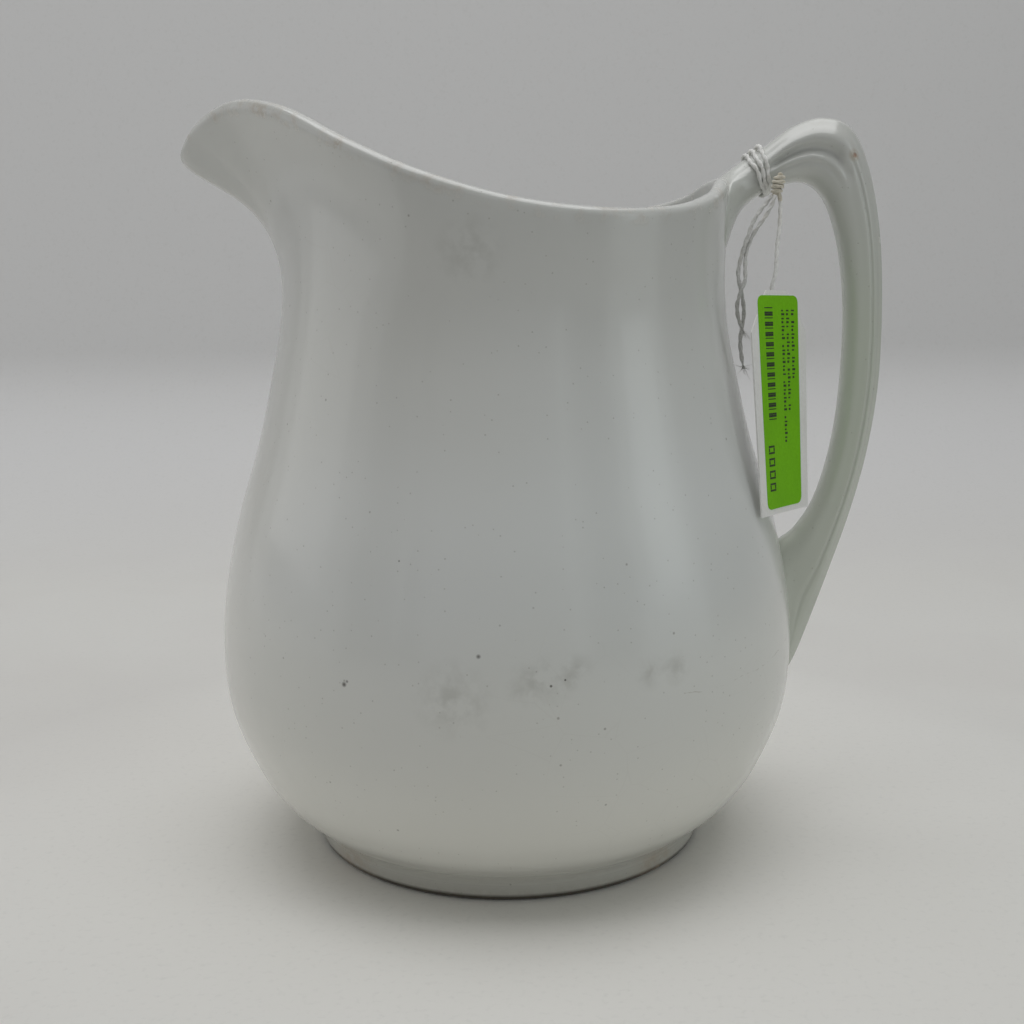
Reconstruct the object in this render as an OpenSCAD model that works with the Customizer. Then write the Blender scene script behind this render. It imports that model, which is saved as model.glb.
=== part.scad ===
// Large ironstone water jug with a price tag tied to its handle.
// Millimetres. Z is up, the spout points along -X, the handle along +X,
// and the origin is the centre of the foot ring's bearing face.

/* [Jug] */
// Widest radius of the belly
belly_r = 94.5; // [92:0.5:97]
// Thickness of the wall
wall_t = 5; // [4:0.5:6]
// Outer radius of the foot ring where it stands
foot_r = 65.2; // [64:0.2:67]
// Height of the foot ring
foot_h = 7; // [6.5:0.5:7.5]
// Width of the foot ring's bearing face
foot_w = 7; // [5:0.5:9]
// Reach of the spout's tip from the jug's axis
spout_reach = 102.5; // [98:0.5:106]

/* [Handle] */
// Half width of the handle's free limb
limb_w = 7.5; // [6.5:0.1:8.5]
// Height of the bead that runs down the handle's back
bead_h = 1.4; // [0.5:0.1:2]

/* [Tag] */
// Width of the card
card_w = 35; // [30:1:36]
// Height of the card
card_h = 70; // [60:1:72]
// Thickness of the card
card_t = 0.5; // [0.3:0.1:0.8]
// Width of the cut corners at the card's top
card_clip = 11; // [6:1:12]
// Height of the cut corners at the card's top
card_shoulder = 13; // [6:1:14]
// Width of the price label
label_w = 25.4; // [20:0.2:28]
// Height of the price label
label_h = 66.6; // [50:0.2:67]
// Radius of the label's corners
label_corner = 2.5; // [1:0.5:4]
// Heading of the card about the vertical
tag_heading = 53; // [50:1:60]
// Lean of the card, its foot out from the belly
tag_lean = 9; // [9:1:14]
// Roll of the card in its own plane
tag_roll = -4; // [-6:1:2]
// Diameter of the string
string_d = 1.4; // [1:0.1:1.4]

/* [Hidden] */
$fn = 64;

// Outer wall below the neck, as [radius, height].
cove_r = foot_r - 0.8;
low_wall = [[cove_r, foot_h], [72, 12.2], [86.3, 30.2], [93.8, 51.2], [belly_r, 78.2], [89, 108.2],
            [80.5, 136.2], [74.4, 162.2]];
// Half of the rim's edge, from above the handle to the spout's tip.
rim_half = [[73, 0, 218.2], [71, 14, 216.2], [65, 32, 212.1], [51, 53, 209.1], [29, 68.5, 208.7],
            [2, 74, 212.1], [-24, 71, 219.5], [-46, 58, 228.3], [-66, 40, 237.8], [-83, 22.5, 240.7],
            [-96, 10, 235.2], [-spout_reach, 0, 227.4]];
low_steps = 2;
up_steps = 9;
rim_steps = 3;
edge_steps = 4;
floor_z = 13;

// Handle stations: outer x, outer z, inner x, inner z, half width.
handle_stations = [[70, 216.8, 70.5, 191.7, 14], [75.5, 221.6, 75.6, 205.2, 10.2],
                   [83, 226.2, 81.5, 211, 8.8], [92.5, 233, 89, 214.6, 8.6],
                   [102, 235.8, 96.1, 215.6, 8.8], [111.2, 232.6, 101.5, 212.6, 8.8],
                   [117.3, 220.2, 105.6, 205.6, 8.4], [121.3, 201.2, 109.2, 191.8, limb_w + 0.4],
                   [123, 178.2, 111, 173.2, limb_w], [122.8, 152.2, 110.4, 149.2, limb_w],
                   [119.8, 129.2, 107.9, 129.7, limb_w], [114.8, 108.7, 103.2, 113.2, limb_w],
                   [108, 87.2, 97.2, 103.4, limb_w], [102.6, 71.2, 90.4, 96.2, limb_w - 0.7],
                   [98, 58.7, 91.4, 79.2, limb_w - 2], [93.4, 49.7, 91.2, 62.2, limb_w - 4.5]];
handle_steps = 3;
section_n = 28;
section_power = 0.78;
// The bead covers this share of the handle's half width, with a groove at each side of it.
bead_spread = 0.45;
groove_at = 0.62;
groove_spread = 0.1;
groove_share = 0.35;

// String.
string_r = string_d / 2;
string_gap = 0.15;
// Where each turn of the hitch crosses the handle's back, and how far it slants to meet the knot.
hitch_turns = [[1.46, 0.46], [1.66, 0.4], [1.86, 0.34]];
knot_at = [86.8, -11.8, 215.6];
knot_r = 2.1;
tag_hole = [85.5, -19.5, 179.4];
drop_route = [[87.6, -12.2, 210.6], [87.5, -12.9, 208], [87.3, -13.8, 204.6], [86.9, -14.8, 201],
              [86.3, -15.8, 197.2], [86, -16.7, 193.4], [85.8, -17.3, 190], [85.3, -17.7, 187],
              [84.5, -18, 184], [84.1, -18.2, 181.2], [84, -18.4, 179.2]];
long_route = [[85, -11.9, 212.2], [83, -13, 209.9], [80.8, -14.4, 207.4], [78.7, -15.4, 204.2],
              [77.2, -16.4, 200.6], [75.8, -17, 196.8], [74.6, -17.2, 192.6], [73.8, -18, 188.2],
              [74.4, -18.9, 183.8], [75.4, -18.6, 179.6], [75.9, -17.6, 175.2], [75.3, -17.3, 171],
              [74.9, -17.9, 166.8], [75.2, -18.6, 162.8], [75.8, -19, 159.2]];
short_route = [[85.7, -13.7, 212.2], [84.1, -14.9, 208.6], [82, -15.6, 205.2], [79.8, -16, 202.2],
               [77.8, -16, 198.6], [76.4, -16.4, 194.6], [76, -17.8, 190.4], [75.8, -19.4, 186.4],
               [74.4, -20.2, 182.6], [73.4, -19.6, 178.6], [74, -19, 174.4], [75.4, -19.4, 170.6]];
hole_r = 2;
// Height of the hole below the card's top edge.
hole_drop = 3.6;
label_t = 0.12;
print_t = 0.05;
print_colour = [0.08, 0.09, 0.07];

// One point of a Catmull-Rom curve.
function cr(a, b, c, d, u) =
    0.5 * (2 * b + (c - a) * u + (2 * a - 5 * b + 4 * c - d) * u * u + (3 * b - a - 3 * c + d) * u * u * u);

// Smooth open curve through every point of P, n steps to a span.
function spline(P, n) = let (last = len(P) - 1)
    [for (i = [0 : last - 1], j = [0 : n - 1])
        cr(i > 0 ? P[i - 1] : 2 * P[0] - P[1], P[i], P[i + 1],
           i < last - 1 ? P[i + 2] : 2 * P[last] - P[last - 1], j / n),
     P[last]];

// Smooth closed curve through every point of P, n steps to a span.
function loop_spline(P, n) = let (m = len(P))
    [for (i = [0 : m - 1], j = [0 : n - 1])
        cr(P[(i - 1 + m) % m], P[i], P[(i + 1) % m], P[(i + 2) % m], j / n)];

function unit(v) = v / norm(v);
function clamp01(x) = min(1, max(0, x));
function ease(a, b, x) = let (t = clamp01((x - a) / (b - a))) t * t * (3 - 2 * t);

// Faces between rings of n points, closed at both ends by a fan to one end point each.
function skin_faces(rings, n) = concat(
    [for (k = [0 : rings - 2], j = [0 : n - 1]) [k * n + j, (k + 1) * n + j, k * n + (j + 1) % n]],
    [for (k = [0 : rings - 2], j = [0 : n - 1])
        [k * n + (j + 1) % n, (k + 1) * n + j, (k + 1) * n + (j + 1) % n]],
    [for (j = [0 : n - 1]) [rings * n, j, (j + 1) % n]],
    [for (j = [0 : n - 1]) [rings * n + 1, (rings - 1) * n + (j + 1) % n, (rings - 1) * n + j]]);

// ---- Jug body: one meridian for each direction round the rim ----

rim_far = [for (i = [len(rim_half) - 2 : -1 : 1]) [rim_half[i].x, -rim_half[i].y, rim_half[i].z]];
rim = loop_spline(concat(rim_half, rim_far), rim_steps);
low_outer = spline(low_wall, low_steps);
neck = low_outer[len(low_outer) - 1];
neck_dir = unit(neck - low_outer[len(low_outer) - 2]);
// Inner wall below the neck: the floor, a bend, then the outer wall less its thickness.
low_inner = spline(concat([[30, floor_z], [58, floor_z + 0.8], [77, 28]],
                          [for (i = [3 : len(low_wall) - 1]) low_wall[i] - [wall_t, 0]]), low_steps);

// How much a direction belongs to the spout: 1 at its tip, 0 from the jug's sides round to the handle.
function spout_share(heading) = ease(0.6, 1, (1 - cos(heading)) / 2);

// Four Bezier points of the wall between neck and rim, as [radius, height].
function upper_wall(edge) = let (
        s = spout_share(atan2(edge.y, edge.x)),
        rise = 20 + 35 * s,
        pull = 18 - 5 * s,
        slope = 88 - 28 * s,
        top = [norm([edge.x, edge.y]), edge.z - wall_t / 2])
    [neck, neck + rise * neck_dir, top - pull * [cos(slope), sin(slope)], top];
function bezier(B, t) =
    pow(1 - t, 3) * B[0] + 3 * pow(1 - t, 2) * t * B[1] + 3 * (1 - t) * t * t * B[2] + pow(t, 3) * B[3];
function bezier_dir(B, t) = unit(
    pow(1 - t, 2) * (B[1] - B[0]) + 2 * (1 - t) * t * (B[2] - B[1]) + t * t * (B[3] - B[2]));
function across(d) = [d.y, -d.x];

function meridian(edge) = let (
        B = upper_wall(edge),
        end_dir = bezier_dir(B, 1),
        middle = B[3] - across(end_dir) * wall_t / 2)
    concat(
        low_outer,
        [for (i = [1 : up_steps]) bezier(B, i / up_steps)],
        [for (i = [1 : edge_steps - 1]) let (a = 180 * i / edge_steps)
            middle + wall_t / 2 * (cos(a) * across(end_dir) + sin(a) * end_dir)],
        [for (i = [up_steps : -1 : 1]) let (t = i / up_steps)
            bezier(B, t) - wall_t * across(bezier_dir(B, t))],
        [for (i = [len(low_inner) - 1 : -1 : 0]) low_inner[i]]);

module jug_body() {
    meridians = [for (edge = rim) meridian(edge)];
    rings = len(meridians[0]);
    n = len(rim);
    points = [for (k = [0 : rings - 1], j = [0 : n - 1])
        let (p = meridians[j][k], a = atan2(rim[j].y, rim[j].x))
        [p[0] * cos(a), p[0] * sin(a), p[1]]];
    color([0.86, 0.88, 0.87])
        polyhedron(points = concat(points, [[0, 0, foot_h], [0, 0, floor_z]]), faces = skin_faces(rings, n));
}

module foot_ring() {
    color([0.84, 0.85, 0.83])
        rotate_extrude($fn = 128)
            polygon([[foot_r - foot_w, 0], [foot_r - 1, 0], [foot_r, 1], [foot_r - 0.2, 4],
                     [cove_r, foot_h], [foot_r - foot_w - 1.5, foot_h], [foot_r - foot_w - 1, 1]]);
}

// ---- Handle ----

function station(s) = let (
        i = min(floor(s), len(handle_stations) - 2),
        last = len(handle_stations) - 1,
        P = handle_stations)
    cr(i > 0 ? P[i - 1] : 2 * P[0] - P[1], P[i], P[i + 1],
       i < last - 1 ? P[i + 2] : 2 * P[last] - P[last - 1], s - i);
function soft(x) = sign(x) * pow(abs(x), section_power);
// Bead on the back, as wide as half the handle, with a shallow groove at each side.
function bead(q, a) = q <= 0 ? 0 :
    bead_h * (exp(-pow(sin(a) / bead_spread, 4))
        - groove_share * exp(-pow((abs(sin(a)) - groove_at) / groove_spread, 2)));
// A point of the handle's outline at station s and angle a, grown outwards by g.
function handle_point(s, a, g = 0) = let (
        st = station(s),
        up = unit([st[0] - st[2], 0, st[1] - st[3]]),
        half_h = norm([st[0] - st[2], st[1] - st[3]]) / 2,
        middle = [st[0] + st[2], 0, st[1] + st[3]] / 2,
        q = soft(cos(a)))
    middle + up * (q * (half_h + g - bead_h / 2) + bead(q, a)) + [0, soft(sin(a)) * (st[4] + g), 0];

module handle() {
    rings = (len(handle_stations) - 1) * handle_steps + 1;
    points = [for (k = [0 : rings - 1], j = [0 : section_n - 1])
        handle_point(k / handle_steps, -360 * j / section_n)];
    last = len(handle_stations) - 1;
    color([0.86, 0.88, 0.87])
        polyhedron(points = concat(points, [
                (handle_point(0, 0) + handle_point(0, 180)) / 2,
                (handle_point(last, 0) + handle_point(last, 180)) / 2]),
            faces = skin_faces(rings, section_n));
}

// ---- String ----

// Tube of radius r along a route, with its ends closed.
module tube(route, r, sides = 8) {
    last = len(route) - 1;
    points = [for (i = [0 : last]) let (
            along = unit(route[min(i + 1, last)] - route[max(i - 1, 0)]),
            side = unit(cross(along, [0, 1, 0])),
            other = cross(along, side))
        for (j = [0 : sides - 1]) let (a = 360 * j / sides)
            route[i] + r * (cos(a) * side + sin(a) * other)];
    polyhedron(points = concat(points, [route[0], route[last]]), faces = skin_faces(len(route), sides));
}

// One turn of string round the handle, slanting back towards the knot.
module turn(s, slant) {
    steps = 24;
    sides = 8;
    centre = (handle_point(s, 0) + handle_point(s, 180)) / 2;
    path = [for (i = [0 : steps - 1]) let (a = 360 * i / steps)
        handle_point(s + slant * (1 - cos(a)), a, string_r + string_gap)];
    points = [for (i = [0 : steps - 1]) let (
            along = unit(path[(i + 1) % steps] - path[(i - 1 + steps) % steps]),
            side = unit(cross(along, path[i] - centre)),
            other = cross(along, side))
        for (j = [0 : sides - 1]) let (a = 360 * j / sides)
            path[i] + string_r * (cos(a) * side + sin(a) * other)];
    faces = concat(
        [for (i = [0 : steps - 1], j = [0 : sides - 1])
            [i * sides + j, ((i + 1) % steps) * sides + j, i * sides + (j + 1) % sides]],
        [for (i = [0 : steps - 1], j = [0 : sides - 1])
            [i * sides + (j + 1) % sides, ((i + 1) % steps) * sides + j,
             ((i + 1) % steps) * sides + (j + 1) % sides]]);
    polyhedron(points = points, faces = faces);
}

module string_hitch() {
    color([0.93, 0.93, 0.92])
        for (t = hitch_turns) turn(t[0], t[1]);
}

module string_knot() {
    color([0.9, 0.88, 0.8])
        translate(knot_at)
            rotate([0, 12, 0])
                rotate_extrude($fn = 32)
                    polygon([[0, -3.8], [1.2, -3.8], [knot_r, -2.6], [knot_r - 0.5, -1.4], [knot_r, 0],
                             [knot_r - 0.5, 1.3], [knot_r - 0.1, 2.6], [1.1, 3.8], [0, 3.8]]);
}

module string_drop() {
    color([0.93, 0.93, 0.92])
        tube(drop_route, string_r);
}

module string_tail_long() {
    color([0.9, 0.9, 0.88])
        tube(long_route, string_r);
}

module string_tail_short() {
    color([0.9, 0.9, 0.88])
        tube(short_route, string_r);
}

// ---- Tag: drawn flat in X and Z with its hole at the origin, then hung ----

module hang() {
    translate(tag_hole)
        rotate([-tag_lean, 0, 0])
            rotate([0, tag_roll, tag_heading])
                rotate([90, 0, 0])
                    children();
}

module card_outline() {
    difference() {
        translate([0, hole_drop - card_h])
            polygon([[-card_w / 2, 0], [card_w / 2, 0], [card_w / 2, card_h - card_shoulder],
                     [card_w / 2 - card_clip, card_h], [card_clip - card_w / 2, card_h],
                     [-card_w / 2, card_h - card_shoulder]]);
        circle(r = hole_r, $fn = 32);
    }
}

module tag_card() {
    color([0.93, 0.92, 0.91])
        hang() linear_extrude(card_t) card_outline();
}

module label_outline() {
    translate([0, hole_drop - 1.6 - label_h / 2])
        hull()
            for (x = [-1, 1], y = [-1, 1])
                translate([x * (label_w / 2 - label_corner), y * (label_h / 2 - label_corner)])
                    circle(r = label_corner, $fn = 24);
}

module price_label() {
    color([0.45, 0.85, 0.1])
        hang() translate([0, 0, card_t]) linear_extrude(label_t) label_outline();
}

// Generic marks only: a column of bars and three columns of short dashes.
module label_print() {
    top = hole_drop - 1.6;
    color(print_colour)
        hang() translate([0, 0, card_t + label_t]) linear_extrude(print_t) {
            for (i = [0 : 21])
                translate([-8.6, top - 4 - i * 1.5 - 0.5 * (i % 3)])
                    square([5.2, 0.5 + 0.35 * (i * 7 % 3)]);
            for (column = [0 : 2], i = [0 : 9 - 2 * column])
                translate([2.2 + 3.1 * column, top - 6 - i * 4.6])
                    square([1.5, 2.4 + 0.5 * ((i + column) % 3)]);
            for (i = [0 : 3])
                translate([-10, top - 61 + i * 3.9])
                    square([4.2, 2.6]);
        }
}

jug_body();
foot_ring();
handle();
string_hitch();
string_knot();
string_drop();
string_tail_long();
string_tail_short();
tag_card();
price_label();
label_print();
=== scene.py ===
"""Ironstone water jug with a tied price tag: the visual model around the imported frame.

Millimetres are used for shapes, as in the design, and MM turns them into metres.
Z is up, the spout points along -X and the handle along +X.
"""

import math

import bpy
import numpy as np
from mathutils import Matrix, Vector


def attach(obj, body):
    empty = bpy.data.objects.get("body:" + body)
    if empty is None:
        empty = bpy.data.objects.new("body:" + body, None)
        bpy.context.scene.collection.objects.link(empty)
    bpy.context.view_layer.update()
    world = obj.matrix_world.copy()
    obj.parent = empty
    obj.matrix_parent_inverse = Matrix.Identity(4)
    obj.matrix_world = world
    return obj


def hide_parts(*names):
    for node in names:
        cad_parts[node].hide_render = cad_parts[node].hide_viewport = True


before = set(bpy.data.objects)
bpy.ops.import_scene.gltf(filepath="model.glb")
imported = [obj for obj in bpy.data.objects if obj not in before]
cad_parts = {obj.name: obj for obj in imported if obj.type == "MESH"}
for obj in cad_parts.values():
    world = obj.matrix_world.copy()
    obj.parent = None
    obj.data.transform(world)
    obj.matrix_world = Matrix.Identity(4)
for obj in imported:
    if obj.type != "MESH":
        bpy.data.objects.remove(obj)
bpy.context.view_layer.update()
MM = 0.001
scene = bpy.context.scene


# ---------------------------------------------------------------- camera

CAMERA_AT = (0.0, -0.4786, 0.2052)
CAMERA_DOWN = 11.35
CAMERA_TURN = -0.25
CAMERA_ROLL = -0.6
CAMERA_LENS = 50.98


def make_camera():
    data = bpy.data.cameras.new("camera")
    data.lens = CAMERA_LENS
    data.sensor_width = 36
    data.dof.use_dof = False
    camera = bpy.data.objects.new("camera", data)
    scene.collection.objects.link(camera)
    turn = Matrix.Rotation(math.radians(CAMERA_TURN), 4, "Z")
    tilt = Matrix.Rotation(math.radians(90 - CAMERA_DOWN), 4, "X")
    roll = Matrix.Rotation(math.radians(CAMERA_ROLL), 4, "Z")
    camera.matrix_world = Matrix.Translation(CAMERA_AT) @ turn @ tilt @ roll
    scene.camera = camera


make_camera()


# ---------------------------------------------------------------- curves and meshes


def catmull(a, b, c, d, u):
    """One point of a Catmull-Rom curve between b and c."""
    return 0.5 * (2 * b + (c - a) * u + (2 * a - 5 * b + 4 * c - d) * u**2 + (3 * b - a - 3 * c + d) * u**3)


def spline(points, steps):
    """Smooth open curve through every point, steps to a span."""
    p = np.array(points, float)
    p = np.vstack([2 * p[0] - p[1], p, 2 * p[-1] - p[-2]])
    curve = [catmull(*p[i : i + 4], j / steps) for i in range(len(p) - 3) for j in range(steps)]
    return np.array(curve + [p[-2]])


def loop_spline(points, steps):
    """Smooth closed curve through every point, steps to a span."""
    p = np.array(points, float)
    n = len(p)
    return np.array([catmull(p[i - 1], p[i], p[(i + 1) % n], p[(i + 2) % n], j / steps)
                     for i in range(n) for j in range(steps)])


def ease(a, b, x):
    """0 up to a and 1 from b on, with a smooth rise between them."""
    t = np.clip((x - a) / (b - a), 0, 1)
    return t * t * (3 - 2 * t)


def hill(x, middle, spread):
    """1 at the middle, falling off smoothly to both sides."""
    return np.exp(-(((x - middle) / spread) ** 2))


def unit(v):
    v = np.asarray(v, float)
    return v / np.linalg.norm(v, axis=-1, keepdims=True)


def make_piece(name, points, faces, material, body, marks=None):
    """A smooth mesh from points in millimetres. marks is one number a point, for the material."""
    mesh = bpy.data.meshes.new(name)
    mesh.from_pydata((np.asarray(points) * MM).tolist(), [], faces)
    mesh.validate()
    mesh.polygons.foreach_set("use_smooth", [True] * len(mesh.polygons))
    if marks is not None:
        layer = mesh.attributes.new("marks", "FLOAT", "POINT")
        layer.data.foreach_set("value", np.asarray(marks, np.float32))
    mesh.materials.append(material)
    piece = bpy.data.objects.new(name, mesh)
    scene.collection.objects.link(piece)
    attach(piece, body)
    return piece


def ring_faces(rings, n, closed=False):
    """Quads between rings of n points. closed joins the last ring to the first."""
    return [
        (k * n + j, k * n + (j + 1) % n, (k + 1) % rings * n + (j + 1) % n, (k + 1) % rings * n + j)
        for k in range(rings if closed else rings - 1)
        for j in range(n)
    ]


def closed_loft(rings):
    """Points and faces of a skin over rings of points, closed by a fan at each end."""
    rings = np.asarray(rings, float)
    count, n = rings.shape[:2]
    points = np.vstack([rings.reshape(-1, 3), rings[0].mean(0), rings[-1].mean(0)])
    faces = ring_faces(count, n)
    faces += [(count * n, (j + 1) % n, j) for j in range(n)]
    faces += [(count * n + 1, (count - 1) * n + j, (count - 1) * n + (j + 1) % n) for j in range(n)]
    return points, faces


def merged(shells):
    """Points and faces of several shells as one mesh."""
    points = []
    faces = []
    for more_points, more_faces in shells:
        faces += [tuple(i + len(points) for i in face) for face in more_faces]
        points += more_points.tolist()
    return points, faces


def carried_frames(path):
    """Side and other direction at each point of an open path, carried along without twisting."""
    path = np.asarray(path, float)
    along = unit(np.gradient(path, axis=0))
    side = unit(np.cross(along[0], [0.3, 1, 0.1]))
    sides = []
    for direction in along:
        side = unit(side - direction * np.dot(side, direction))
        sides.append(side)
    sides = np.array(sides)
    return sides, np.cross(along, sides)


YARN_PITCH = 3.4
YARN_SIDES = 20
YARN_ANGLES = np.linspace(0, 2 * math.pi, YARN_SIDES, endpoint=False)


def ply(angle, radius):
    """Radius of two-ply yarn's outline in a direction across it."""
    return radius * (0.6 + 0.4 * np.abs(np.cos(angle)) ** 1.3)


def yarn_ring(centre, side, other, turn, radius):
    """One section of yarn, whose plies have turned by an angle."""
    r = ply(YARN_ANGLES - turn, radius)
    return centre + np.outer(r * np.cos(YARN_ANGLES), side) + np.outer(r * np.sin(YARN_ANGLES), other)


def yarn_rings(path, sides, others, radius, taper=0.0):
    """Rings of a two-ply twisted yarn along a path. taper is the length over which its end thins out."""
    path = np.asarray(path, float)
    gone = np.r_[0, np.cumsum(np.linalg.norm(np.diff(path, axis=0), axis=1))]
    rings = []
    for p, side, other, run in zip(path, sides, others, gone):
        thick = radius * (1 - 0.6 * ease(gone[-1] - taper, gone[-1], run)) if taper else radius
        rings.append(yarn_ring(p, side, other, run / YARN_PITCH * math.pi, thick))
    return np.array(rings)


# ---------------------------------------------------------------- materials


class Look:
    """A procedural material, built a node at a time."""

    def __init__(self, name, roughness, **fixed):
        self.material = bpy.data.materials.new(name)
        self.material.use_nodes = True
        self.nodes = self.material.node_tree.nodes
        self.links = self.material.node_tree.links
        self.shader = self.nodes["Principled BSDF"]
        self.shader.inputs["Roughness"].default_value = roughness
        for socket, value in fixed.items():
            self.shader.inputs[socket.replace("_", " ")].default_value = value
        self.place = self.nodes.new("ShaderNodeTexCoord").outputs["Object"]

    def put(self, kind, inputs=(), **settings):
        node = self.nodes.new(kind)
        for key, value in settings.items():
            setattr(node, key, value)
        for key, value in dict(inputs).items():
            if isinstance(value, bpy.types.NodeSocket):
                self.links.new(value, node.inputs[key])
            else:
                node.inputs[key].default_value = value
        return node

    def stretched(self, scale):
        return self.put("ShaderNodeMapping", {"Vector": self.place, "Scale": scale}).outputs[0]

    def noise(self, scale, detail=3.0, rough=0.55, place=None):
        inputs = {"Vector": place or self.place, "Scale": scale, "Detail": detail, "Roughness": rough}
        return self.put("ShaderNodeTexNoise", inputs).outputs["Fac"]

    def step(self, value, low, high, to_low=0.0, to_high=1.0):
        """A value that goes from to_low to to_high as another one goes from low to high."""
        inputs = {"Value": value, "From Min": low, "From Max": high, "To Min": to_low, "To Max": to_high}
        return self.put("ShaderNodeMapRange", inputs, clamp=True).outputs[0]

    def math(self, operation, a, b):
        return self.put("ShaderNodeMath", {0: a, 1: b}, operation=operation).outputs[0]

    def part(self, mask, share):
        """A mask brought down to a share of itself."""
        return self.math("MULTIPLY", mask, share)

    def vector(self, operation, a, b, output="Vector"):
        return self.put("ShaderNodeVectorMath", {0: a, 1: b}, operation=operation).outputs[output]

    def scaled(self, vector, scale):
        return self.put("ShaderNodeVectorMath", {0: vector, "Scale": scale}, operation="SCALE").outputs[0]

    def spot(self, centre, inner, outer):
        """1 within inner of a point, 0 beyond outer, in millimetres."""
        far = self.vector("DISTANCE", self.place, [c * MM for c in centre], "Value")
        return self.step(far, inner * MM, outer * MM, 1.0, 0.0)

    def specks(self, scale, radius, share):
        """Scattered round specks, in a share of the cells of a given scale."""
        cells = self.put("ShaderNodeTexVoronoi", {"Vector": self.place, "Scale": scale})
        dot = self.step(cells.outputs["Distance"], radius, radius * 0.5)
        red = self.put("ShaderNodeSeparateColor", {0: cells.outputs["Color"]}).outputs[0]
        chosen = self.math("LESS_THAN", red, share)
        return self.math("MULTIPLY", dot, chosen)

    def hairline(self, points, half_width=0.22):
        """1 along a thin broken line through points in millimetres."""
        nearest = None
        wander = self.put("ShaderNodeTexNoise", {"Vector": self.place, "Scale": 160.0, "Detail": 3.0})
        shift = self.vector("SUBTRACT", wander.outputs["Color"], (0.5, 0.5, 0.5))
        place = self.vector("ADD", self.place, self.scaled(shift, 0.0022))
        for a, b in zip(points, points[1:]):
            a = Vector(a) * MM
            run = Vector(b) * MM - a
            away = self.vector("SUBTRACT", place, a)
            reach = self.step(self.vector("DOT_PRODUCT", away, run / run.length_squared, "Value"), 0.0, 1.0)
            gap = self.vector("DISTANCE", away, self.scaled(run, reach), "Value")
            nearest = gap if nearest is None else self.math("MINIMUM", nearest, gap)
        return self.step(nearest, half_width * MM, half_width * 0.3 * MM)

    def marks(self):
        return self.put("ShaderNodeAttribute", attribute_name="marks").outputs["Fac"]

    def height(self):
        return self.put("ShaderNodeSeparateXYZ", {0: self.place}).outputs["Z"]

    def tint(self, under, colour, share):
        """Mixes a colour over another one, where share says."""
        node = self.put("ShaderNodeMix", {"Factor": share}, data_type="RGBA")
        for socket, value in ((node.inputs[6], under), (node.inputs[7], colour)):
            if isinstance(value, bpy.types.NodeSocket):
                self.links.new(value, socket)
            else:
                socket.default_value = (*value, 1)
        return node.outputs[2]

    def bump(self, height, strength, distance, under=None):
        inputs = {"Height": height, "Strength": strength, "Distance": distance * MM}
        if under:
            inputs["Normal"] = under
        return self.put("ShaderNodeBump", inputs).outputs[0]

    def finish(self, colour=None, roughness=None, normal=None):
        for socket, value in (("Base Color", colour), ("Roughness", roughness), ("Normal", normal)):
            if value:
                self.links.new(value, self.shader.inputs[socket])
        return self.material


GLAZE = (0.735, 0.745, 0.725)
GLAZE_WARM = (0.70, 0.70, 0.645)
GLAZE_COOL = (0.715, 0.755, 0.75)
GLAZE_GREEN = (0.56, 0.61, 0.50)
# Painted light: a paler tone for the lower belly.
LOW_BELLY_PAINTED_LIGHT = (0.75, 0.75, 0.695)
# Painted shade: a darker tone for the neck, which faces slightly down.
NECK_PAINTED_SHADE = (0.62, 0.63, 0.605)
# Painted shade: a darker tone for the foot band.
FOOT_PAINTED_SHADE = (0.58, 0.58, 0.53)
# Painted shade: the handle is painted darker than the body's glaze.
HANDLE_PAINTED_SHADE = (0.54, 0.55, 0.525)
SPECK = (0.22, 0.21, 0.18)
SMUDGE = (0.30, 0.30, 0.26)
PIT = (0.06, 0.05, 0.04)
RUBBED = (0.45, 0.38, 0.30)
STAIN = (0.42, 0.33, 0.22)
FOOT_STAIN = (0.46, 0.36, 0.26)
BROWN = (0.30, 0.17, 0.10)
CRAZE = (0.50, 0.48, 0.42)
CRACK = (0.42, 0.40, 0.34)
# Dirt and painted shade at the bottom of the foot.
GRIME_AND_PAINTED_SHADE = (0.26, 0.22, 0.17)
# Painted contact shadow: a near-black line where the foot meets the floor.
PAINTED_CONTACT_SHADOW = (0.07, 0.06, 0.045)
# Brownish stains on the foot.
FOOT_STAINS = [(-50, -41, 4), (47, -45, 4), (20, 62, 3)]
# Pits and dark flecks in the glaze: place and radius.
PITS = [((-46.5, -82, 76), 1.0), ((-45.6, -82.4, 77), 0.7), ((-8, -92.6, 87), 0.9),
        ((-2, -91.4, 95.5), 0.55), ((-30, -82.5, 112), 0.4), ((60, -60, 44), 0.5),
        ((-77, 18, 165), 0.6), ((20, 92, 60), 0.7), ((-40, 84, 95), 0.6), ((55, 76, 72), 0.6),
        ((-17, -67.5, 215.5), 0.7), ((12, -93.6, 78.5), 0.5), ((16, -93, 80), 0.4)]
# Soft grey smudges in the glaze: place and radius.
SMUDGES = [((12, -93.3, 80), 8.0), ((19, -92, 82), 6.0), ((5, -94.2, 79), 7.0), ((40, -85, 79.5), 6.0),
           ((48, -81, 79.5), 6.0), ((-15, -93, 74.5), 13.0), ((-9, -72.3, 197.5), 11.0),
           ((30, 88, 70), 9.0)]
# A hairline crack that runs round the belly towards the handle: heading in degrees and height.
HAIRLINE = [(-57.8, 71.5), (-53.5, 70.8), (-48.1, 70.6), (-42.5, 71.3), (-35.2, 71.2), (-27.1, 72.2),
            (-18.5, 73.5)]
HAIRLINE_R = 94.85
# Brown wear along the rim: place and radius.
RIM_WEAR = [((-72.6, -33.7, 238.7), 2.8), ((-70.2, -36, 237.8), 2.6), ((-46, -57.5, 226.8), 2.4),
            ((10, 75, 210.5), 4.0), ((-60, 44, 234), 4.0)]
CHIP = (111.6, -7.9, 224.5)


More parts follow.
